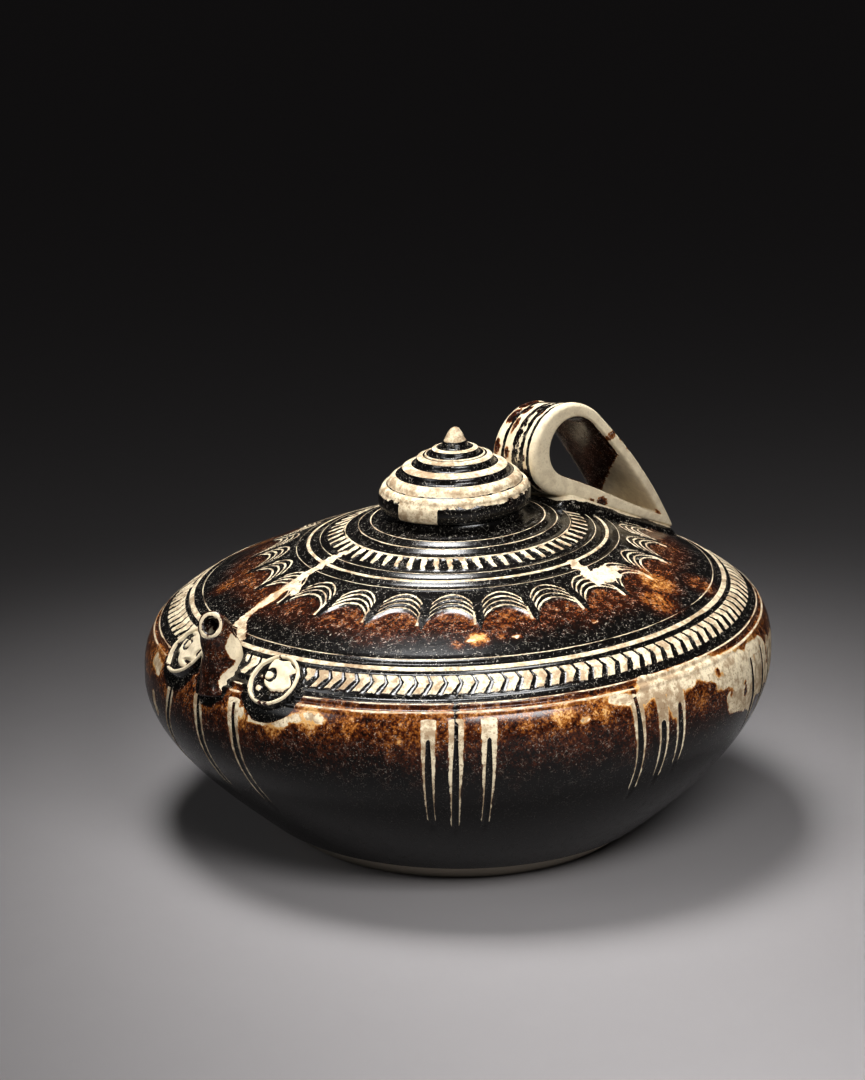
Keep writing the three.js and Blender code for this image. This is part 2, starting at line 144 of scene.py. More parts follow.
# A shader socket that adds and multiplies like a number, so that one formula for a pattern
# both shapes the mesh, with numpy arrays, and colours it, with nodes
class Sock:
    def __init__(self, shade, out):
        self.shade, self.out = shade, out

    def pair(self, operation, other=None):
        values = {0: self} if other is None else {0: self, 1: other}
        return self.shade.node("ShaderNodeMath", {"operation": operation}, values)

    def swapped(self, operation, other):
        return self.shade.node("ShaderNodeMath", {"operation": operation}, {0: other, 1: self})

    def __add__(self, other): return self.pair("ADD", other)
    def __radd__(self, other): return self.pair("ADD", other)
    def __sub__(self, other): return self.pair("SUBTRACT", other)
    def __rsub__(self, other): return self.swapped("SUBTRACT", other)
    def __mul__(self, other): return self.pair("MULTIPLY", other)
    def __rmul__(self, other): return self.pair("MULTIPLY", other)
    def __truediv__(self, other): return self.pair("DIVIDE", other)
    def __rtruediv__(self, other): return self.swapped("DIVIDE", other)
    def __abs__(self): return self.pair("ABSOLUTE")


def least(a, b):
    if isinstance(a, Sock):
        return a.pair("MINIMUM", b)
    return b.pair("MINIMUM", a) if isinstance(b, Sock) else np.minimum(a, b)


def most(a, b):
    if isinstance(a, Sock):
        return a.pair("MAXIMUM", b)
    return b.pair("MAXIMUM", a) if isinstance(b, Sock) else np.maximum(a, b)


def rounded(a): return a.pair("ROUND") if isinstance(a, Sock) else np.round(a)


def fraction(a): return a.pair("FRACT") if isinstance(a, Sock) else a - np.floor(a)


def root(a): return a.pair("SQRT") if isinstance(a, Sock) else np.sqrt(a)


def ramp(value, start, end):   # 0 at start, 1 at end, smooth between
    share = least(most((value - start) / (end - start), 0.0), 1.0)
    return share * share * (3.0 - 2.0 * share)


# Each pattern gives the distance in mm from the edge of its marks, below 0 inside them.
def lineGap(radius):
    gap = None
    for place, half, _ in rings["lines"]:
        one = abs(radius - place) - half
        gap = one if gap is None else least(gap, one)
    return gap


def chevronGap(turn, radius):
    c = chevrons
    pitch = 2 * math.pi * c["middle"] / c["count"]
    across = fraction(turn * (c["count"] / 360.0)) - 0.5
    down = (radius - c["inner"]) / (c["outer"] - c["inner"])
    middle = c["point"] - c["sweep"] * abs(down - c["apex"])
    half = c["thin"] + (c["thick"] - c["thin"]) * ramp(down, 0.1, 0.75)
    mark = least(abs(across - middle), abs(across - middle - 1.0)) - half
    band = abs(radius - 0.5 * (c["inner"] + c["outer"])) - 0.5 * (c["outer"] - c["inner"])
    return most(band, mark * (-pitch))


def strokeGap(turn, radius):
    s = strokes
    pitch = 2 * math.pi * s["middle"] / s["count"]
    across = fraction(turn * (s["count"] / 360.0)) - 0.5
    down = (radius - s["inner"]) / (s["outer"] - s["inner"])
    tooth = abs(across - s["curve"] * (down - 0.4)) - s["half"] * (1.25 - 0.55 * down)
    band = abs(radius - 0.5 * (s["inner"] + s["outer"])) - 0.5 * (s["outer"] - s["inner"])
    return most(band, tooth * pitch)


def scallopShare(turn):
    return 2.0 * fraction((turn + scallops["phase"]) * (scallops["count"] / 360.0)) - 1.0


def scallopDepth(turn, radius):   # how far out from the first arc, in mm, and the arcs' steepness there
    c = scallops
    side = scallopShare(turn)
    dip = root(most(1.0 - side * side * c["pull"], 0.02))
    return radius - c["crown"] - c["rise"] * (1.0 - dip), dip, side


def scallopGap(turn, radius):
    c = scallops
    depth, dip, side = scallopDepth(turn, radius)
    nearest = least(most(rounded(depth / c["step"]), 0.0), c["lines"] - 1.0) * c["step"]
    steep = dip / root(dip * dip + side * side * 0.9)
    arcs = abs(depth - nearest) * steep - c["half"]
    arcs = most(arcs, (abs(side) - c["reach"]) * c["halfWidth"])
    tick = abs(side - c["tick"]) * c["halfWidth"] - c["tickHalf"]
    return least(arcs, most(tick, abs(radius - c["tickRadius"]) - c["tickLength"]))


def reliefHeight(turn, radius):
    height = 0.0 * radius
    for place, half, rise in rings["lines"]:
        height = height + rise * (1 - ramp(abs(radius - place), half * 0.7, half * 1.25 + 0.15))
    for place, half, sink in rings["grooves"]:
        height = height - sink * (1 - ramp(abs(radius - place), half * 0.3, half))
    band = ramp(abs(radius - 103), 3.5, 3.0)
    height = height + chevrons["depth"] * band * (ramp(chevronGap(turn, radius), 0.25, -0.35) - 0.5)
    band = ramp(abs(radius - 44.4), 3.5, 3.1)
    height = height + strokes["depth"] * band * (ramp(strokeGap(turn, radius), 0.25, -0.3) - 0.5)
    height = height + scallops["height"] * ramp(scallopGap(turn, radius), 0.28, -0.1)
    depth = scallopDepth(turn, radius)[0]
    under = ramp(depth, scallops["under"] - 0.4, scallops["under"] + 0.6) * ramp(radius, 82.0, 74.0)
    return height - scallops["underDepth"] * under


def bezier(points, share):
    a, b, c, d = [np.array(p, float) for p in points]
    t = np.asarray(share)[:, None]
    return a * (1 - t) ** 3 + 3 * b * t * (1 - t) ** 2 + 3 * c * t ** 2 * (1 - t) + d * t ** 3


# The jar's section, in two lines that meet where it is widest
lowerLine = bezier(jar["lower"], np.linspace(0, 1, 1500))
shoulderLine = bezier(jar["shoulder"], np.linspace(0, 1, 3000))


def shoulderHeight(radius):
    return float(np.interp(-radius, -shoulderLine[:, 0], shoulderLine[:, 1]))


def lowerRadius(height):
    return float(np.interp(height, lowerLine[:, 1], lowerLine[:, 0]))


def lean(points):
    angle = math.radians(viewTurn)
    share = ramp(points[:, 2], jar["leanFrom"], jar["leanTo"])
    across = points[:, 0] * math.cos(angle) + points[:, 1] * math.sin(angle)
    moved = points.copy()
    moved[:, 2] += jar["leanSlope"] * across * share
    return moved


def at(turn, radius, height):
    angle = np.radians(np.asarray(turn) + viewTurn)
    return np.stack([radius * np.cos(angle), radius * np.sin(angle), height + 0 * angle], -1)


def capsuleGap(points, start, end, half):   # distance from a round-ended patch, worked out for each vertex
    along = end - start
    share = np.clip((points - start) @ along / max(float(along @ along), 1e-6), 0, 1)
    return np.linalg.norm(points - start - share[:, None] * along, axis=1) - half


def placesGap(points, places):
    gap = np.full(len(points), 30.0)
    for t0, r0, z0, t1, r1, z1, half in places:
        gap = np.minimum(gap, capsuleGap(points, at(t0, r0, z0), at(t1, r1, z1), half))
    return gap


def wornGap(points):
    gap = placesGap(points, worn)
    return np.clip(np.maximum(gap, -placesGap(points, kept)), -6, 6)


def thinness(points):
    total = np.zeros(len(points))
    for turn, radius, height, reach, strength in thinPlaces:
        away = np.linalg.norm(points - at(turn, radius, height), axis=1)
        total = np.maximum(total, strength * (1 - ramp(away, 0.15 * reach, reach)))
    for turn, radius, reach in pools:
        spot = np.array([radius * math.cos(math.radians(turn)), radius * math.sin(math.radians(turn)),
                         shoulderHeight(radius)])
        away = np.linalg.norm(points - spot, axis=1)
        total -= (1 - ramp(away, reach, reach + 2.5)) * (1 + total)
    return total


def cutGaps(turns, radius, heights):   # mm from the nearest cut and from its dark fill, and share down it
    pale = np.full(len(turns), 9.0)
    dark = np.full(len(turns), 9.0)
    share = np.zeros(len(turns))
    for topTurn, top, footTurn, foot, darkTop in cuts["lines"]:
        down = np.clip((top - heights) / (top - foot), 0, 1)
        line = topTurn + (footTurn - topTurn) * down
        away = abs((turns - line + 180) % 360 - 180) * math.radians(1) * radius
        share = np.where(away < np.minimum(pale, 8.9), down, share)
        beyond = np.maximum(np.maximum(heights - top, foot - heights), 0)
        pale = np.minimum(pale, np.hypot(away, beyond))
        beyond = np.maximum(np.maximum(heights - darkTop, foot + cuts["fillStop"] - heights), 0)
        dark = np.minimum(dark, np.hypot(away, beyond))
    return pale, dark, share


def makeMesh(name, points, faces, fields):
    mesh = bpy.data.meshes.new(name)
    mesh.from_pydata((np.asarray(points) * mm).tolist(), [], faces)
    for field, values in fields.items():
        layer = mesh.attributes.new(field, "FLOAT", "POINT")
        layer.data.foreach_set("value", np.asarray(values, dtype=np.float32))
    mesh.polygons.foreach_set("use_smooth", [True] * len(mesh.polygons))
    mesh.validate()
    mesh.update()
    piece = bpy.data.objects.new(name, mesh)
    bpy.context.collection.objects.link(piece)
    triangles = sum(len(face.vertices) - 2 for face in mesh.polygons)
    print(f"{name}: {len(mesh.vertices)} vertices, {triangles} triangles")
    return piece


def stitch(first, firstStart, second, secondStart):   # joins two closed rows that may differ in count
    m, n = len(first), len(second)
    if m == n:
        i = np.arange(m)
        j = (i + 1) % m
        return np.stack([firstStart + i, firstStart + j, secondStart + j, secondStart + i], 1).tolist()
    faces = []
    i = j = 0
    while i < m or j < n:
        nextFirst = first[i + 1] if i + 1 < m else first[0] + 360 if i < m else 1e9
        nextSecond = second[j + 1] if j + 1 < n else second[0] + 360 if j < n else 1e9
        a, b = firstStart + i % m, secondStart + j % n
        if nextFirst <= nextSecond:
            i += 1
            faces.append((a, firstStart + i % m, b))
        else:
            j += 1
            faces.append((a, secondStart + j % n, b))
    return faces


def turnedMesh(rows):   # rows of (turns, points), from a bottom pole to a top pole, closed with fans
    points, faces, starts = [], [], []
    total = 0
    for _, ring in rows:
        starts.append(total)
        points.append(ring)
        total += len(ring)
    for k in range(len(rows) - 1):
        faces += stitch(rows[k][0], starts[k], rows[k + 1][0], starts[k + 1])
    first, last = len(rows[0][0]), len(rows[-1][0])
    points.append(np.array([rows[0][1].mean(0), rows[-1][1].mean(0)]))
    faces += [(total, (i + 1) % first, i) for i in range(first)]
    faces += [(total + 1, starts[-1] + i, starts[-1] + (i + 1) % last) for i in range(last)]
    return np.concatenate(points), faces


def cappedFaces(n, m):   # n rows of m points, closed round, with the centres of both ends after them
    i, j = np.meshgrid(np.arange(n - 1), np.arange(m), indexing="ij")
    p, q = i * m + j, i * m + (j + 1) % m
    faces = np.stack([p, q, q + m, p + m], -1).reshape(-1, 4).tolist()
    faces += [(n * m, (k + 1) % m, k) for k in range(m)]
    faces += [(n * m + 1, (n - 1) * m + k, (n - 1) * m + (k + 1) % m) for k in range(m)]
    return faces


def lengths(line):   # how far along a line each of its points is
    return np.concatenate([[0], np.cumsum(np.linalg.norm(np.diff(line, axis=0), axis=1))])


def slopes(line):
    slope = np.gradient(line, axis=0)
    return slope / np.linalg.norm(slope, axis=1)[:, None]


def even(count): return np.arange(count) * (360.0 / count)


def withCuts(count):   # even turns, with close ones added at each cut
    turns = [even(count)]
    for topTurn, _, footTurn, _, _ in cuts["lines"]:
        middle = 0.5 * (topTurn + footTurn)
        reach = 0.5 * abs(topTurn - footTurn) + 0.9
        turns.append(np.linspace(middle - reach, middle + reach, int(7 + reach * 3)) % 360)
    return np.unique(np.round(np.concatenate(turns), 3))


zones = [   # the shoulder's rows: inner radius, spacing in mm and turns
    (112.6, 1.5, withCuts(320)), (106.5, 0.45, even(400)), (99.5, 0.68, even(1134)), (92.6, 0.45, even(400)),
    (80.0, 1.7, even(400)), (60.2, 0.7, even(576)), (49.0, 0.55, even(400)), (40.2, 0.6, even(522)),
    (28.0, 0.62, even(340)),
]


def jarRows():
    rows, kinds = [], []

    def add(turns, radius, height, normal, kind):
        rows.append((turns, radius, height, normal))
        kinds.append(kind)

    none = (0.0, 0.0)
    for radius in (20.0, 42.0, 58.0):
        add(even(96), radius, 0.0, none, 0)
    base = jar["base"] - jar["footStep"]
    add(even(288), base - 0.8, 0.0, none, 0)
    add(even(288), base, jar["footRound"], none, 0)
    glazeRadius = lowerRadius(jar["glazeLine"])
    for share in (0.35, 0.7, 1.0):
        height = jar["footRound"] + (jar["glazeLine"] - jar["footRound"]) * share
        add(even(288), base + (glazeRadius - jar["footStep"] - base) * share, height, none, 0)
    add(even(288), glazeRadius + 0.15, jar["glazeLine"] + 0.35, none, 1)
    profile = lowerLine[lowerLine[:, 1] > jar["glazeLine"] + 1.0]
    length, slope = lengths(profile), slopes(profile)
    upright = withCuts(320)
    for s in np.linspace(0, length[-1], 31)[:-1]:
        k = int(np.searchsorted(length, s))
        add(upright if profile[k, 1] > 24 else even(288), *profile[k], (slope[k, 1], -slope[k, 0]), 1)
    profile = shoulderLine
    length, slope = lengths(profile), slopes(profile)
    start = 0.0
    for inner, spacing, turns in zones:
        end = float(np.interp(-inner, -profile[:, 0], length))
        for s in np.linspace(start, end, max(2, int(round((end - start) / spacing))), endpoint=False):
            k = min(int(np.searchsorted(length, s)), len(profile) - 1)
            add(turns, *profile[k], (slope[k, 1], -slope[k, 0]), 2)
        start = end
    for radius, height in [jar["neckRoot"]] + jar["neck"]:
        add(even(180), radius, height, none, 3)
    for radius, height in jar["mouth"]:
        add(even(120), radius, height, none, 4)
    inside = []
    for line in (shoulderLine[::-1], lowerLine[::-1]):
        slope = slopes(line)
        shifted = line - jar["wall"] * np.stack([-slope[:, 1], slope[:, 0]], 1)
        for k in range(0, len(line), len(line) // 9):
            radius, height = shifted[k]
            if 19 < radius and height > jar["floor"] + 1.5:
                inside.append((radius, height))
    for radius, height in inside:
        add(even(96), radius, height, none, 4)
    add(even(96), lowerRadius(jar["floor"]) - jar["wall"] - 3.0, jar["floor"], none, 4)
    add(even(96), 30.0, jar["floor"], none, 4)
    return rows, kinds


def buildJar():
    rows, kinds = jarRows()
    made, flat = [], []
    rise, cut, fill, foot = [], [], [], []
    places = {0: -5.0, 3: 130.0, 4: 200.0}   # the rise that stands for foot, neck and inside
    for (turns, radius, height, normal), kind in zip(rows, kinds):
        out = np.zeros(len(turns))
        gap, dark, end = np.full(len(turns), 9.0), np.full(len(turns), 9.0), np.zeros(len(turns))
        if kind == 2:
            wobble = np.sin(np.radians(turns * 3 + 40)) + 0.6 * np.sin(np.radians(turns * 7))
            out = reliefHeight(turns + viewTurn, radius + 0 * turns) * ramp(radius, 27.5, 29.0)
            out = out + 0.12 * rings["wobble"] * wobble
        if kind == 1 or (kind == 2 and radius > 100):
            gap, dark, end = cutGaps(turns, radius, height)
            out = out - cuts["depth"] * (1 - ramp(dark, 0.1, cuts["half"] * 1.6))
            belly = ramp(height, 8.0, 30.0) * ramp(height, 84.0, 60.0)
            out = out + 0.25 * np.sin(np.radians(turns * 2 + 70)) * belly
        place = at(turns, radius + normal[0] * out, height + normal[1] * out)
        made.append((turns, place))
        rise += [places.get(kind, height)] * len(turns)
        cut += list(gap)
        fill += list(dark)
        foot += list(end)
        flat.append(at(turns, radius, height))
    points, faces = turnedMesh(made)
    rise += [places[0], places[4]]
    cut += [9.0, 9.0]
    fill += [9.0, 9.0]
    foot += [0.0, 0.0]
    base = np.concatenate(flat + [points[-2:]])
    return makeMesh("jar_wall", lean(points), faces, {
        "rise": rise, "cut": cut, "fill": fill, "cutEnd": foot,
        "worn": wornGap(base), "thin": thinness(base)})


def steady(seed, points, size):   # a smooth seeded unevenness, about -1 to 1
    rng = np.random.default_rng(seed)
    total = np.zeros(len(points))
    for _ in range(9):
        way = rng.normal(size=3)
        way /= np.linalg.norm(way)
        total += np.sin(points @ way * (2 * math.pi / (size * rng.uniform(0.7, 1.5))) + rng.uniform(0, 6.28))
    return total / 4.0


def tubeMesh(sections):   # closed rows of the same count, joined end to end round a loop
    n, m = sections.shape[:2]
    i, j = np.meshgrid(np.arange(n), np.arange(m), indexing="ij")
    a = i * m + j
    b = i * m + (j + 1) % m
    c = ((i + 1) % n) * m + (j + 1) % m
    d = ((i + 1) % n) * m + j
    return sections.reshape(-1, 3), np.stack([a, b, c, d], -1).reshape(-1, 4).tolist()


handle = {
    "foot": 92.0, "footRise": 2.0, "centre": (43.3, 21.15), "radius": 17.2, "crown": 2.2,
    "holeCentre": (46.1, 22.5), "holeRadius": 10.7, "holeTip": (83.0, 6.0), "holeCrown": 0.8,
    "halfTop": 12.0, "halfFoot": 19.0, "widens": (32.0, 84.0), "tilt": 0.16,
    "combs": [(-8.3, 0.6), (-5.0, 0.4), (-2.4, 0.4), (0.4, 0.45), (5.6, 0.5)],   # place across and half width
    "combDepth": 0.6, "rimStart": (7.4, 9.2), "rimEnd": (12.4, 10.6), "rimRise": 0.55, "unevenness": 0.18,
    "around": 300, "across": 84,
}


def loopLine(centre, radius, tip, crown, count):   # round end, crowned upper side, straight lower side
    centre, tip = np.array(centre, float), np.array(tip, float)
    away = tip - centre
    toTip = math.atan2(away[1], away[0])
    spread = math.acos(radius / np.linalg.norm(away))
    upper, lower = toTip + spread, toTip - spread + 2 * math.pi
    start = centre + radius * np.array([math.cos(upper), math.sin(upper)])
    end = centre + radius * np.array([math.cos(lower), math.sin(lower)])
    middle = 0.5 * (start + tip) + 2 * crown * np.array([math.cos(upper), math.sin(upper)])
    t = np.linspace(0, 1, 400)[:, None]
    top = tip * (1 - t) ** 2 + 2 * middle * t * (1 - t) + start * t ** 2
    angles = np.linspace(upper, lower, 400)
    bend = centre + radius * np.stack([np.cos(angles), np.sin(angles)], 1)
    back = end + (tip - end) * t
    whole = []
    for line, share in ((top, 0.36), (bend, 0.36), (back, 0.28)):
        length = lengths(line)
        steps = np.linspace(0, length[-1], int(round(count * share)), endpoint=False)
        whole.append(np.stack([np.interp(steps, length, line[:, k]) for k in (0, 1)], 1))
    return np.concatenate(whole)


def strapHalf(radial):
    return handle["halfTop"] + (handle["halfFoot"] - handle["halfTop"]) * ramp(radial, *handle["widens"])


def strapDip(radial, across):   # the strap dips across its width, most round the loop
    return handle["tilt"] * across * (1 - ramp(radial, handle["centre"][0], handle["widens"][1]))


def smoothLoop(line, passes):
    for _ in range(passes):
        line = 0.25 * np.roll(line, 1, 0) + 0.5 * line + 0.25 * np.roll(line, -1, 0)
    return line


def buildStrap():
    h = handle
    tip = (h["foot"], shoulderHeight(h["foot"]) + h["footRise"])
    centre = (h["centre"][0], shoulderHeight(h["centre"][0]) + h["centre"][1])
    holeTip = (h["holeTip"][0], shoulderHeight(h["holeTip"][0]) + h["holeTip"][1])
    holeCentre = (h["holeCentre"][0], shoulderHeight(h["holeCentre"][0]) + h["holeCentre"][1])
    outer = smoothLoop(loopLine(centre, h["radius"], tip, h["crown"], h["around"]), 6)
    inner = smoothLoop(loopLine(holeCentre, h["holeRadius"], holeTip, h["holeCrown"], h["around"]), 4)
    phi = np.linspace(0, 2 * math.pi, h["across"], endpoint=False)
    flat = np.sign(np.cos(phi)) * np.abs(np.cos(phi)) ** 0.32
    wide = np.sign(np.sin(phi)) * np.abs(np.sin(phi)) ** 0.5
    sections, comb, face = [], [], []
    for k in range(len(outer)):
        through = outer[k] - inner[k]
        thick = np.linalg.norm(through)
        through = through / thick
        half = strapHalf(outer[k][0])
        y = wide * half
        a = 0.5 + 0.5 * flat
        onTop = ramp(flat, 0.2, 0.75)
        scaled = y * (h["halfTop"] / half)
        groove = np.full(len(y), 9.0)
        sink = np.zeros(len(y))
        for place, width in h["combs"]:
            away = abs(scaled - place)
            groove = np.minimum(groove, away - width)
            sink += 1 - ramp(away, 0.2 * width, 1.5 * width)
        rim = ramp(abs(scaled), *h["rimStart"]) * ramp(abs(scaled), *h["rimEnd"])
        lift = onTop * (h["rimRise"] * rim - h["combDepth"] * sink)
        depth = thick * a + lift
        radial = inner[k][0] + through[0] * depth
        height = inner[k][1] + through[1] * depth - strapDip(outer[k][0], scaled)
        sections.append(np.stack([radial, y, height], 1))
        comb.append(np.where(flat > 0.3, groove, 9.0))
        face.append(flat)
    sections = np.array(sections)
    points, faces = tubeMesh(sections)
    points = points + h["unevenness"] * steady(4, points, 22)[:, None] * np.array([0.5, 1.0, 0.5])
    comb, face = np.concatenate(comb), np.concatenate(face)
    return makeMesh("strap_handle", lean(points), faces, {
        "fill": comb, "worn": strapWorn(points, face), "thin": 0.24 + 0 * comb, "rise": 0 * comb + 130})


# Brown glaze left on the worn handle: place in mm (towards the handle, across, up) and reach
strapGlaze = [
    (34, 8, 146, 2.6), (37, 4, 148, 2.4), (31, 3, 144, 2.2), (35, -5, 149, 2.6), (38, -4, 150, 2.6),
    (33, -8, 146, 2.0), (27, 9, 136, 2.4), (26, 3, 134, 2.6), (27, 5, 130, 2.0), (26, -2, 132, 1.8),
    (27, -3, 127, 2.6), (26, -6, 134, 1.6), (28, -7, 127, 2.6), (30, -8, 123, 2.8), (32, 2, 119, 4.0),
    (33, 8, 118, 4.0), (31, -3, 121, 3.0), (42, 9, 149, 3.5), (47, 3, 149, 3.0), (55, 10, 144, 3.5),
    (64, 4, 134, 3.0), (70, 12, 127, 3.5), (83, -3, 108, 2.5), (61, -15.5, 137, 1.3),
    (64, -15.8, 134, 1.2), (68, -16, 130, 1.5), (75, -17.5, 121, 1.5), (48, -13, 150.5, 0.7),
    (52, -15, 113, 1.5), (57, -15.5, 112, 1.6), (84, -18, 103, 1.2), (86, -15, 101, 1.8),
]


def strapWorn(points, face):
    gap = np.full(len(points), -3.0)
    for x, y, z, reach in strapGlaze:
        away = np.linalg.norm((points - np.array([x, y, z])) * np.array([0.7, 1.5, 0.7]), axis=1)
        gap = np.maximum(gap, reach - away)
    inside = ramp(face, -0.1, -0.4) * ramp(points[:, 0] - 0.6 * points[:, 1], 77.0, 71.0)
    inside = inside * ramp(points[:, 1] + strapHalf(points[:, 0]), 0.3, 1.6)
    return np.clip(np.maximum(gap, -3 + 6 * inside), -6, 6)


pad = {"spread": 5.5, "sink": 2.5, "start": 33.0, "rows": 70, "across": 60}


def buildPad():
    h = handle
    tip = shoulderHeight(h["foot"]) + h["footRise"]
    loopFoot = shoulderHeight(h["centre"][0]) + h["centre"][1] - h["radius"]
    along, over = np.meshgrid(
        np.linspace(0, 1, pad["rows"]), np.linspace(-1, 1, pad["across"]), indexing="ij")
    radial = pad["start"] + (h["foot"] + 1.0 - pad["start"]) * along
    half = strapHalf(radial) + pad["spread"]
    narrow = ramp(along, 0.0, 0.1) * 0.25 + 0.75
    y = over * half * narrow
    away = np.hypot(radial, y)
    ground = np.interp(-away, -shoulderLine[:, 0], shoulderLine[:, 1])
    share = np.clip((radial - h["centre"][0]) / (h["foot"] - h["centre"][0]), 0, 1)
    under = loopFoot + (tip - loopFoot) * share - strapDip(radial, y * h["halfTop"] / strapHalf(radial))
    thick = np.clip(under + 2.0 - ground, 0, None)
    edge = ramp(abs(over), 1.0, 0.55) * ramp(along, 0.0, 0.22) * ramp(along, 1.0, 0.93)
    top = ground - pad["sink"] * (1 - ramp(edge, 0.0, 0.25)) + thick * edge
    upper = np.stack([radial, y, top], -1).reshape(-1, 3)
    lower = np.stack([radial, y, ground - pad["sink"] - 0.4], -1).reshape(-1, 3)
    upper[:, 2] += 0.25 * steady(9, upper, 12) * edge.reshape(-1)
    n, m = pad["rows"], pad["across"]
    i, j = np.meshgrid(np.arange(n - 1), np.arange(m - 1), indexing="ij")
    a = (i * m + j).reshape(-1)
    quads = np.stack([a, a + m, a + m + 1, a + 1], 1)
    faces = quads.tolist() + (quads[:, ::-1] + n * m).tolist()
    rim = ([j for j in range(m)] + [i * m + m - 1 for i in range(1, n)]
           + [(n - 1) * m + j for j in range(m - 2, -1, -1)] + [i * m for i in range(n - 2, 0, -1)])
    for k in range(len(rim)):
        p, q = rim[k], rim[(k + 1) % len(rim)]
        faces.append((p, q, q + n * m, p + n * m))
    points = np.concatenate([upper, lower])
    gap = 4.0 - 7.0 * ramp(np.concatenate([edge.reshape(-1)] * 2), 0.15, 0.75)
    plain = 0 * gap
    return makeMesh("handle_pad", lean(points), faces, {
        "fill": plain + 9, "worn": gap + 1.5 * steady(12, points, 16), "thin": plain, "rise": plain + 130})


spout = {
    "inset": 9.6, "sink": 9.5, "mouthInset": 3.4, "mouthRise": 15.9, "turn": 25.5, "tilt": 22.0, "bend": 8.0,
    "rootRadius": 9.2, "rootFlare": 0.5, "mouthRadius": 4.7, "mouthFlare": 0.25, "bore": 2.85, "depth": 15.0,
    "length": 26.0, "unevenness": 0.3, "rows": 60, "sides": 72,
    "bare": [(-103, -9, 93, 6.6), (-101, -10, 86, 7.0), (-103, -10, 99, 4.6),   # place in mm and reach
             (-109, -9, 82, 5.0), (-110, 6, 92, 3), (-108, 1, 101, 3)],
}


def buildSpout():
    s = spout
    height = shoulderHeight(jar["widest"] - s["inset"])
    start = np.array([-(jar["widest"] - s["inset"]), 0, height - s["sink"]])
    mouth = np.array([-(jar["widest"] - s["mouthInset"]), 0, height + s["mouthRise"]])
    turn, tilt = math.radians(180 + s["turn"]), math.radians(s["tilt"])
    facing = np.array([math.cos(tilt) * math.cos(turn), math.cos(tilt) * math.sin(turn), math.sin(tilt)])
    elbow = mouth - s["bend"] * facing
    rows = []

    def section(share, radius, back=0.0):
        point = start * (1 - share) ** 2 + 2 * elbow * share * (1 - share) + mouth * share ** 2
        along = 2 * (elbow - start) * (1 - share) + 2 * (mouth - elbow) * share
        along /= np.linalg.norm(along)
        across = np.cross([0, 1.0, 0], along)
        across /= np.linalg.norm(across)
        side = np.cross(along, across)
        angle = np.linspace(0, 2 * math.pi, s["sides"], endpoint=False)[:, None]
        rows.append(point - back * along + radius * (np.cos(angle) * across + np.sin(angle) * side))

    for share in np.linspace(0, 0.985, s["rows"]):
        radius = s["rootRadius"] + (s["mouthRadius"] - s["rootRadius"]) * share ** 0.8
        radius += s["mouthFlare"] * ramp(share, 0.86, 0.95) + s["rootFlare"] * ramp(share, 0.28, 0.0)
        section(share, radius)
    rim = s["mouthRadius"] - s["bore"]
    for angle in np.linspace(0.25, math.pi - 0.15, 7):
        section(1.0, s["bore"] + rim * (0.5 + 0.5 * math.cos(angle)), 0.55 * (1 - math.sin(angle)))
    for share in np.linspace(0.97, 0.97 - s["depth"] / s["length"], 14):
        section(share, s["bore"])
    points = np.concatenate(rows)
    points = np.concatenate([points, [rows[0].mean(0)], [rows[-1].mean(0)]])
    bend = s["unevenness"] * steady(21, points, 9)
    outward = points - np.array([-106.0, 0, 88])
    outward[:, 2] = 0
    outward /= np.maximum(np.linalg.norm(outward, axis=1), 1)[:, None]
    points = points + outward * bend[:, None]
    row = np.concatenate([np.repeat(np.arange(len(rows)), s["sides"]), [0, len(rows)]])
    gap = 3.0 - 3.6 * ramp(abs(row - (s["rows"] + 2)), 5.0, 1.0)
    for x, y, z, reach in s["bare"]:
        gap = np.minimum(gap, np.linalg.norm(points - np.array([x, y, z]), axis=1) - reach)
    gap = np.where(row > s["rows"] + 8, 0.4, gap)
    plain = 0 * gap
    brown = 0.24 * (row < s["rows"])
    return makeMesh("spout", lean(points), cappedFaces(len(rows), s["sides"]), {
        "fill": plain + 9, "worn": gap, "thin": plain + brown, "rise": plain + 130})


bosses = {
    "turns": (-11.4, 14.5), "inset": 8.3, "tilt": 47.0, "radius": 9.9, "proud": 2.9, "sink": 5.0, "rim": 1.4,
    "field": 1.4, "rows": 30, "sides": 96,
    "eye": 6.6, "eyePlace": (-1.3, 1.1), "eyeRise": 1.3, "curlPlace": (-1.5, -2.4), "curlRadius": 2.0,
}


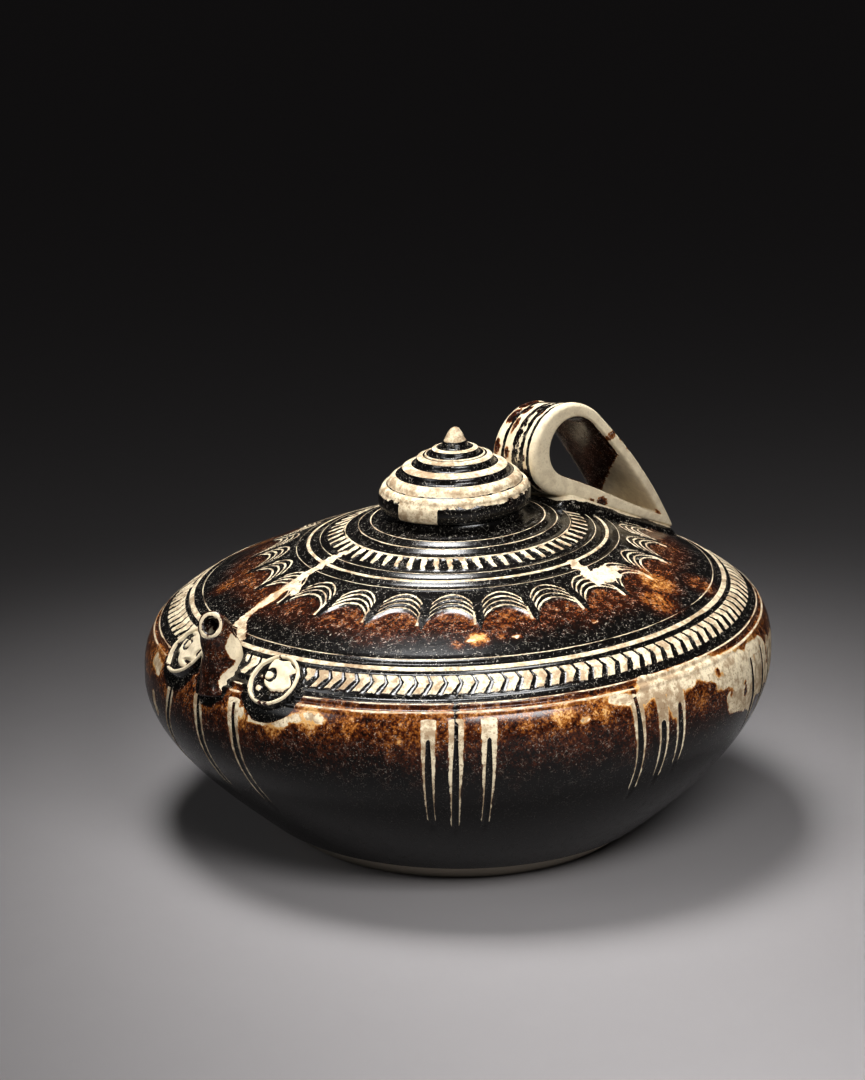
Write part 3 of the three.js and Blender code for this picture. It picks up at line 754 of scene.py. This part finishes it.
def buildBoss(index):
    b = bosses
    edge, rimRound, rimHalf = b["radius"], 0.9, 0.5 * b["rim"]
    profile = [(edge + 0.2, -b["sink"], 0), (edge + 0.2, -2.0, 0), (edge + 0.1, 0.0, 0),
               (edge, b["proud"] - rimRound, 0)]
    for angle in np.linspace(0.1, math.pi, 8):
        profile.append((edge - rimHalf + rimHalf * math.cos(angle),
                        b["proud"] - rimRound + rimRound * math.sin(angle), 1))
    for radius in np.linspace(edge - b["rim"] - 0.2, 0.5, b["rows"]):
        profile.append((radius, b["proud"] - b["field"], 2))
    points, kinds = [], []
    angle = np.linspace(0, 2 * math.pi, b["sides"], endpoint=False)
    for radius, height, kind in profile:
        ring = np.stack([radius * np.cos(angle), radius * np.sin(angle), height + 0 * angle], 1)
        points.append(ring)
        kinds += [kind] * len(ring)
    points = np.concatenate(points)
    kinds = np.array(kinds)
    shape = steady(31 + index, points, 5.5)
    away = np.linalg.norm(points[:, :2] - np.array(b["eyePlace"]), axis=1)
    eye = ramp(away + 1.5 * shape, b["eye"] + 0.6, b["eye"] - 1.0)
    curl = abs(np.linalg.norm(points[:, :2] - np.array(b["curlPlace"]), axis=1) - b["curlRadius"])
    nick = ramp(curl + 0.4 * shape, 0.25, 0.8)
    rise = np.where(kinds == 2, b["eyeRise"] * eye * (0.3 + 0.7 * nick) * (1 + 0.25 * shape), 0)
    points[:, 2] += rise + np.where(kinds == 1, 0.15 * shape, 0)
    points = np.concatenate([points, [[0, 0, -b["sink"]]], [[0, 0, points[-1, 2]]]])
    gap = np.where(kinds == 1, -0.9 + 0.7 * shape, np.where(kinds == 2, 1.3 - 2.9 * eye * nick, 1.8))
    gap = np.concatenate([gap, [2.0, gap[-1]]])
    radial = jar["widest"] - b["inset"]
    tilt, turn = math.radians(90 - b["tilt"]), math.radians(180 + b["turns"][index])
    x = points[:, 0] * math.cos(tilt) + points[:, 2] * math.sin(tilt) + radial
    z = -points[:, 0] * math.sin(tilt) + points[:, 2] * math.cos(tilt) + shoulderHeight(radial)
    y = points[:, 1]
    points = np.stack([x * math.cos(turn) - y * math.sin(turn),
                       x * math.sin(turn) + y * math.cos(turn), z], 1)
    plain = 0 * gap
    return makeMesh(f"boss_{index + 1}", lean(points), cappedFaces(len(profile), b["sides"]), {
        "fill": plain + 9, "worn": gap, "thin": plain, "rise": plain + 130})


# Radius and height above the seat, in mm, and how much dark glaze lies in the grooves between the rings
lidShape = {
    "seat": 120.5, "shift": 1.1, "sides": 256, "steps": 4, "oval": 0.006,
    "bareTurn": 240, "bareReach": (17.5, 15.0), "glazed": (6.6, 5.2),
    "under": [(3.0, 17.0), (10.0, 4.0), (11.8, 3.0), (11.8, 0.0), (11.8, -4.6), (12.2, -5.0), (14.4, -5.0),
              (14.9, -4.4), (15.3, 0.0), (26.2, 0.0)],
    "rim": [(26.5, 0.05), (27.2, 0.6), (27.75, 1.6), (28.0, 3.2), (27.95, 5.0), (27.6, 6.3), (27.1, 7.0)],
    "rings": [(26.9, 7.9, 0), (26.2, 8.8, 0), (25.3, 9.15, 0.4), (24.8, 9.35, 0.6), (24.4, 9.9, 0.4),
              (24.0, 11.0, 0), (23.1, 11.9, 0), (22.1, 12.5, 0), (21.3, 12.6, 1), (20.6, 12.6, 1),
              (20.1, 12.9, 1), (19.8, 13.5, 1), (19.5, 14.5, 1), (18.8, 15.3, 0), (17.3, 15.9, 0),
              (16.3, 16.2, 0), (15.5, 16.1, 1), (14.8, 16.3, 1), (14.5, 16.9, 1), (14.2, 17.9, 1),
              (13.5, 18.8, 0), (12.2, 19.2, 0), (11.6, 19.2, 0.75), (11.1, 19.2, 0.6), (10.8, 19.6, 0),
              (10.1, 19.7, 1), (9.4, 19.7, 1), (9.0, 20.2, 1), (8.7, 21.1, 1), (8.1, 21.7, 0),
              (7.1, 22.0, 0), (6.4, 22.0, 1), (5.4, 22.0, 1), (4.9, 22.5, 1), (4.6, 23.4, 1),
              (4.0, 24.4, 0.5), (3.4, 25.6, 0), (2.8, 26.8, 0), (2.1, 27.9, 0), (1.4, 28.75, 0),
              (0.6, 29.1, 0)],
}


def buildLid():
    s = lidShape
    rows = [(r, z, 0, 0) for r, z in s["under"]]
    rows += [(r, z, 1, 0) for r, z in s["rim"]]
    chain = np.array([s["rim"][-1] + (0,)] + s["rings"], float)
    for k in range(1, len(chain)):
        a, b, c, d = chain[max(k - 2, 0)], chain[k - 1], chain[k], chain[min(k + 1, len(chain) - 1)]
        square, cube = 2 * a - 5 * b + 4 * c - d, 3 * b - a - 3 * c + d
        for step in range(1, s["steps"] + 1):
            t = step / s["steps"]
            point = 0.5 * (2 * b + (c - a) * t + square * t * t + cube * t ** 3)
            rows.append((point[0], point[1], 2, b[2] + (c[2] - b[2]) * t))
    angle = np.linspace(0, 2 * math.pi, s["sides"], endpoint=False)
    points, band, groove = [], [], []
    for r, z, kind, dark in rows:
        points.append(np.stack([r * np.cos(angle), r * np.sin(angle), s["seat"] + z + 0 * angle], 1))
        band += [kind] * len(angle)
        groove += [dark] * len(angle)
    points = np.concatenate(points)
    band, groove = np.array(band), np.array(groove)
    top = points[-s["sides"]:].mean(0) + np.array([0, 0, 0.02])
    middle = points[:s["sides"]].mean(0)
    oval = s["oval"] * np.sin(2 * np.arctan2(points[:, 1], points[:, 0]) + 0.5) * (band > 0)
    points[:, :2] *= (1 + oval)[:, None]
    points = np.concatenate([points, [middle], [top]])
    groove = np.concatenate([groove, [0, 0]])
    band = np.concatenate([band, [0, 2]])
    turn = np.degrees(np.arctan2(points[:, 1], points[:, 0])) - viewTurn
    rimHeight = points[:, 2] - s["seat"]
    glazed = 3.0 * ramp(rimHeight, *s["glazed"]) * ramp(rimHeight, -0.5, 0.2)
    clear = ramp(abs((turn - s["bareTurn"] + 180) % 360 - 180), *s["bareReach"])
    gap = np.where(band == 1, glazed * (1 - 2.0 * clear) - 0.6, -2.0)
    gap = np.where(band == 0, 1.5, gap)
    angle = math.radians(viewTurn)
    points = points - s["shift"] * np.array([math.cos(angle), math.sin(angle), 0])
    return makeMesh("lid_cone", lean(points), cappedFaces(len(rows), s["sides"]), {
        "fill": 1.9 - 3.0 * groove, "worn": gap, "thin": 0 * gap, "rise": rimHeight})


class Shade:   # one material's node tree
    def __init__(self, name):
        self.material = bpy.data.materials.new(name)
        self.material.use_nodes = True
        self.tree = self.material.node_tree
        self.tree.nodes.clear()

    def node(self, kind, settings=None, values=None, out=0):
        made = self.tree.nodes.new(kind)
        for key, value in (settings or {}).items():
            if key == "stops":
                elements = made.color_ramp.elements
                while len(elements) < len(value):
                    elements.new(0.5)
                for element, (place, colour) in zip(elements, value):
                    element.position = place
                    element.color = (*colour, 1)
            else:
                setattr(made, key, value)
        for key, value in (values or {}).items():
            socket = made.inputs[key]
            if isinstance(value, Sock):
                self.tree.links.new(value.out, socket)
            else:
                socket.default_value = value
        return Sock(self, made.outputs[out]) if len(made.outputs) else None

    def field(self, name):
        return self.node("ShaderNodeAttribute", {"attribute_name": name}, out="Fac")

    def noise(self, place, scale, detail=3.0, rough=0.55, out="Fac"):
        values = {"Vector": place, "Scale": scale, "Detail": detail, "Roughness": rough}
        return self.node("ShaderNodeTexNoise", {}, values, out)

    def mix(self, share, first, second, blend="MIX"):
        made = self.tree.nodes.new("ShaderNodeMix")
        made.data_type, made.blend_type = "RGBA", blend
        for key, value in ((0, share), (6, first), (7, second)):
            if isinstance(value, Sock):
                self.tree.links.new(value.out, made.inputs[key])
            else:
                made.inputs[key].default_value = value if key == 0 else (*value, 1)
        return Sock(self, made.outputs[2])


colours = {
    "black": (0.0042, 0.0035, 0.0032), "brown": (0.017, 0.0052, 0.0026), "red": (0.062, 0.0145, 0.005),
    "amber": (0.30, 0.105, 0.018), "honey": (0.62, 0.36, 0.13), "clay": (0.76, 0.66, 0.48),
    "clayDark": (0.24, 0.14, 0.065), "clayGrey": (0.56, 0.51, 0.43), "base": (0.30, 0.26, 0.21),
    "inside": (0.05, 0.03, 0.02),
}


# Sizes of the unevenness in the glaze, counted per metre, then its gloss
finish = {
    "fine": 1100, "grain": 330, "ragged": 150, "cloud": 55, "speck": 1500, "craze": 330.0,
    "rough": 0.22, "clayRough": 0.5, "coat": 0.4, "bump": 0.35, "bumpDepth": 0.0006,
}


def glazeFinish(name, kind):
    s = Shade(name)
    c = colours
    f = finish
    place = s.node("ShaderNodeTexCoord", out="Object")
    split = s.node("ShaderNodeSeparateXYZ", {}, {0: place})
    x, y = split, Sock(s, split.out.node.outputs["Y"])
    fine = s.noise(place, f["fine"], 3)
    grain = s.noise(place, f["grain"], 4, 0.6)
    cloud = s.noise(place, f["cloud"], 4, 0.55)
    worn, fill, thin, rise = s.field("worn"), s.field("fill"), s.field("thin"), s.field("rise")
    ragged = s.noise(place, f["ragged"], 3, 0.6)
    bare = worn + (grain - 0.5) * 2.6 + (cloud - 0.5) * 2.2 + (fine - 0.5) * 1.0 + (ragged - 0.5) * 4.5
    mottle = (grain - 0.5) * 0.8 + (fine - 0.5) * 0.75
    if kind == "jar":
        radius = root(x * x + y * y) * 1000.0 + (cloud - 0.5) * rings["wobble"] * 2.0
        turn = s.node("ShaderNodeMath", {"operation": "ARCTAN2"}, {0: y, 1: x}) * math.degrees(1) + 360.0
        wavy = turn + (cloud - 0.5) * 0.8
        marks = least(lineGap(radius) + (fine - 0.5) * 0.3, chevronGap(wavy, radius) + (fine - 0.5) * 0.6)
        marks = least(marks, strokeGap(turn + (grain - 0.5) * 2.6, radius) + (fine - 0.5) * 0.5)
        marks = least(marks, scallopGap(wavy, radius) - 0.22 + (grain - 0.5) * 0.6 + (fine - 0.5) * 0.4)
        shoulder = ramp(rise, 63.0, 64.5) * ramp(rise, 128.0, 118.0)
        patch = bare
        pooled = least(thin, 0.0)
        bare = least(bare, marks + 0.1 + (1.0 - shoulder) * 9.0 + ramp(cloud, 0.5, 0.7) * 0.25)
        down, cut = s.field("cutEnd"), s.field("cut")
        margin = cut - cuts["margin"] * (1.05 - down * 0.55) + (grain - 0.5) * 1.3 + (cloud - 0.5) * 0.9
        bare = least(bare, margin + ramp(down, 0.86, 1.0) * 2.0 + ramp(rise, 77.5, 79.5) * 9.0)
        pool = fill - cuts["half"] * (0.85 + ramp(down, 0.1, 0.4) * 0.6) + (fine - 0.5) * 0.3
        depth = scallopDepth(wavy, radius)[0]
        under = ramp(depth, scallops["under"] - 0.8, scallops["under"] + 0.6)
        under = under * ramp(radius, scallops["fade"] + 8, 77.0)
        low = ramp(rise, 42.0, 78.0) * ramp(rise, 86.0, 79.0)
        thin = most(thin * 1.1, under * 0.38 * shoulder)
        thin = most(thin, low * 0.44)
        thin = thin * ramp(rise, 26.0, 70.0) + pooled
        bare = bare - pooled * 5.0
        ringPool = (1.0 - ramp(abs(radius - 107.6), 0.8, 1.3)) * shoulder
        foot = ramp(rise, 1.0, -1.0)
        inside = ramp(rise, 150.0, 180.0)
    else:
        pool = fill - 0.3 + (grain - 0.5) * 1.3 + (fine - 0.5) * 0.6
        thin = thin + 0.06
    bareShare = ramp(bare, 0.10, -0.14) * ramp(pool, -0.05, 0.12)
    halo = ramp(bare, 1.3, 0.0)
    halo = halo * halo * (0.1 if kind == "lid" else 0.35)
    if kind == "jar":
        halo = halo * (0.35 + ramp(patch, 2.2, 0.6) * 0.9)
    amount = thin * 1.25 + (cloud - 0.5) * 0.5 + mottle * (0.5 + thin * 1.9)
    amount = amount + halo - ramp(pool, 0.6, -0.1) * 0.6
    if kind == "jar":
        amount = amount - ringPool * 0.8
    glaze = s.node("ShaderNodeValToRGB", {"stops": [(0.0, c["black"]), (0.14, c["black"]), (0.32, c["brown"]),
                   (0.52, c["red"]), (0.78, c["amber"]), (1.0, c["honey"])]}, {0: amount}, "Color")
    cell = s.node("ShaderNodeTexVoronoi", {"feature": "DISTANCE_TO_EDGE"},
                  {"Vector": place, "Scale": f["craze"], "Randomness": 1.0}, "Distance")
    craze = ramp(cell, 0.022, 0.006) * ramp(grain, 0.46, 0.62)
    speck = ramp(s.noise(place, f["speck"], 2, 0.6) + (grain - 0.5) * 0.3, 0.63, 0.69)
    light = least(craze * 0.28 + speck * 0.5, 0.75)
    if kind == "jar":
        light = light * (0.12 + ramp(rise, 45.0, 80.0) * 0.88)
    glaze = s.mix(light, glaze, c["clayGrey"])
    stain = ramp(grain + cloud * 0.6 + (1.0 - fine) * 0.3, 0.82, 1.12)
    dirt = 0.3 if kind == "luted" else 1.0
    clay = s.mix(stain * (0.75 * dirt), c["clay"], c["clayDark"])
    clay = s.mix(ramp(fine, 0.53, 0.66) * (0.65 * dirt), clay, c["clayDark"])
    colour = s.mix(bareShare, glaze, clay)
    rough = f["rough"] + bareShare * f["clayRough"] + (grain - 0.5) * 0.2 + speck * 0.25
    coat = (1.0 - bareShare) * f["coat"]
    if kind == "jar":
        colour = s.mix(foot, colour, c["base"])
        colour = s.mix(inside, colour, c["inside"])
        rough = rough + foot * 0.5
        coat = coat * (1.0 - foot) * ramp(rise, 62.0, 90.0)
    level = (1.0 - bareShare) * 0.5 + fine * 0.12 + grain * 0.25 - craze * 0.2
    bump = s.node("ShaderNodeBump", {},
                  {"Height": level, "Strength": f["bump"], "Distance": f["bumpDepth"]}, "Normal")
    shader = s.node("ShaderNodeBsdfPrincipled", {}, {
        "Base Color": colour, "Roughness": rough, "Coat Weight": coat, "Normal": bump,
        "IOR": 1.45, "Specular IOR Level": 0.3, "Coat Roughness": 0.16}, "BSDF")
    s.node("ShaderNodeOutputMaterial", {}, {"Surface": shader})
    return s.material


def dress(piece, material, node):
    piece.data.materials.append(material)
    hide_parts(node)
    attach(piece, "root")


jarGlaze = glazeFinish("brown glaze", "jar")
lutedGlaze = glazeFinish("brown glaze on luted clay", "luted")
dress(buildJar(), jarGlaze, "jar_body")
for made in (buildStrap(), buildPad(), buildSpout(), buildBoss(0), buildBoss(1)):
    dress(made, lutedGlaze, "jar_body")
dress(buildLid(), glazeFinish("lid glaze", "lid"), "lid")
print("jar, handle, spout, bosses and lid made")


# Each light: across, towards the camera and up in metres, size, power, what it faces and its spread
studio = {
    "floor": (0.26, 0.248, 0.25), "floorSize": 6, "world": (0.024, 0.0225, 0.023), "gamma": 0.88,
    "lights": {
        "front soft box": (0.16, 0.46, 0.4, (0.3, 0.2), 3.6, (0.16, 0.4, 0), 150),
        "overhead soft box": (-0.1, 0.0, 0.6, (0.3, 0.25), 0.55, (0, 0, 0.1), 45),
        "left soft box": (-0.6, 0.35, 0.5, (0.3, 0.4), 0.1, (0, 0, 0.1), 40),
    },
}


def plainFinish(name, colour, rough):
    s = Shade(name)
    place = s.node("ShaderNodeTexCoord", out="Object")
    tone = s.mix(s.noise(place, 60, 4) * 0.3, colour, tuple(v * 0.86 for v in colour))
    shader = s.node("ShaderNodeBsdfPrincipled", {}, {"Base Color": tone, "Roughness": rough}, "BSDF")
    s.node("ShaderNodeOutputMaterial", {}, {"Surface": shader})
    return s.material


bpy.ops.mesh.primitive_plane_add(size=studio["floorSize"], location=(0, 0, 0))
floor = bpy.context.object
floor.name = "floor"
floor.data.materials.append(plainFinish("pale floor", studio["floor"], 0.7))

world = bpy.data.worlds.new("studio")
bpy.context.scene.world = world
world.use_nodes = True
world.node_tree.nodes["Background"].inputs[0].default_value = (*studio["world"], 1)

right = Vector((0.7716, -0.6361, 0))     # level, across the picture
front = Vector((-0.6361, -0.7716, 0))    # level, towards the camera


def softLight(name, across, forward, up, size, power, aim, spread):
    data = bpy.data.lights.new(name, "AREA")
    data.shape, data.size, data.size_y = "RECTANGLE", size[0], size[1]
    data.energy, data.spread = power, math.radians(spread)
    lamp = bpy.data.objects.new(name, data)
    lamp.location = right * across + front * forward + Vector((0, 0, up))
    target = right * aim[0] + front * aim[1] + Vector((0, 0, aim[2]))
    lamp.rotation_euler = (target - lamp.location).to_track_quat("-Z", "Y").to_euler()
    bpy.context.collection.objects.link(lamp)


for name, values in studio["lights"].items():
    softLight(name, *values)

data = bpy.data.cameras.new("camera")
data.lens, data.sensor_width, data.sensor_fit = camera["lens"], camera["sensor"], "AUTO"
data.dof.use_dof = False
viewer = bpy.data.objects.new("camera", data)
viewer.location = camera["place"]
viewer.rotation_euler = Vector(camera["forward"]).to_track_quat("-Z", "Y").to_euler()
bpy.context.collection.objects.link(viewer)
bpy.context.scene.camera = viewer
bpy.context.scene.view_settings.view_transform = "Standard"
bpy.context.scene.view_settings.gamma = studio["gamma"]
print("floor, lights and camera placed")
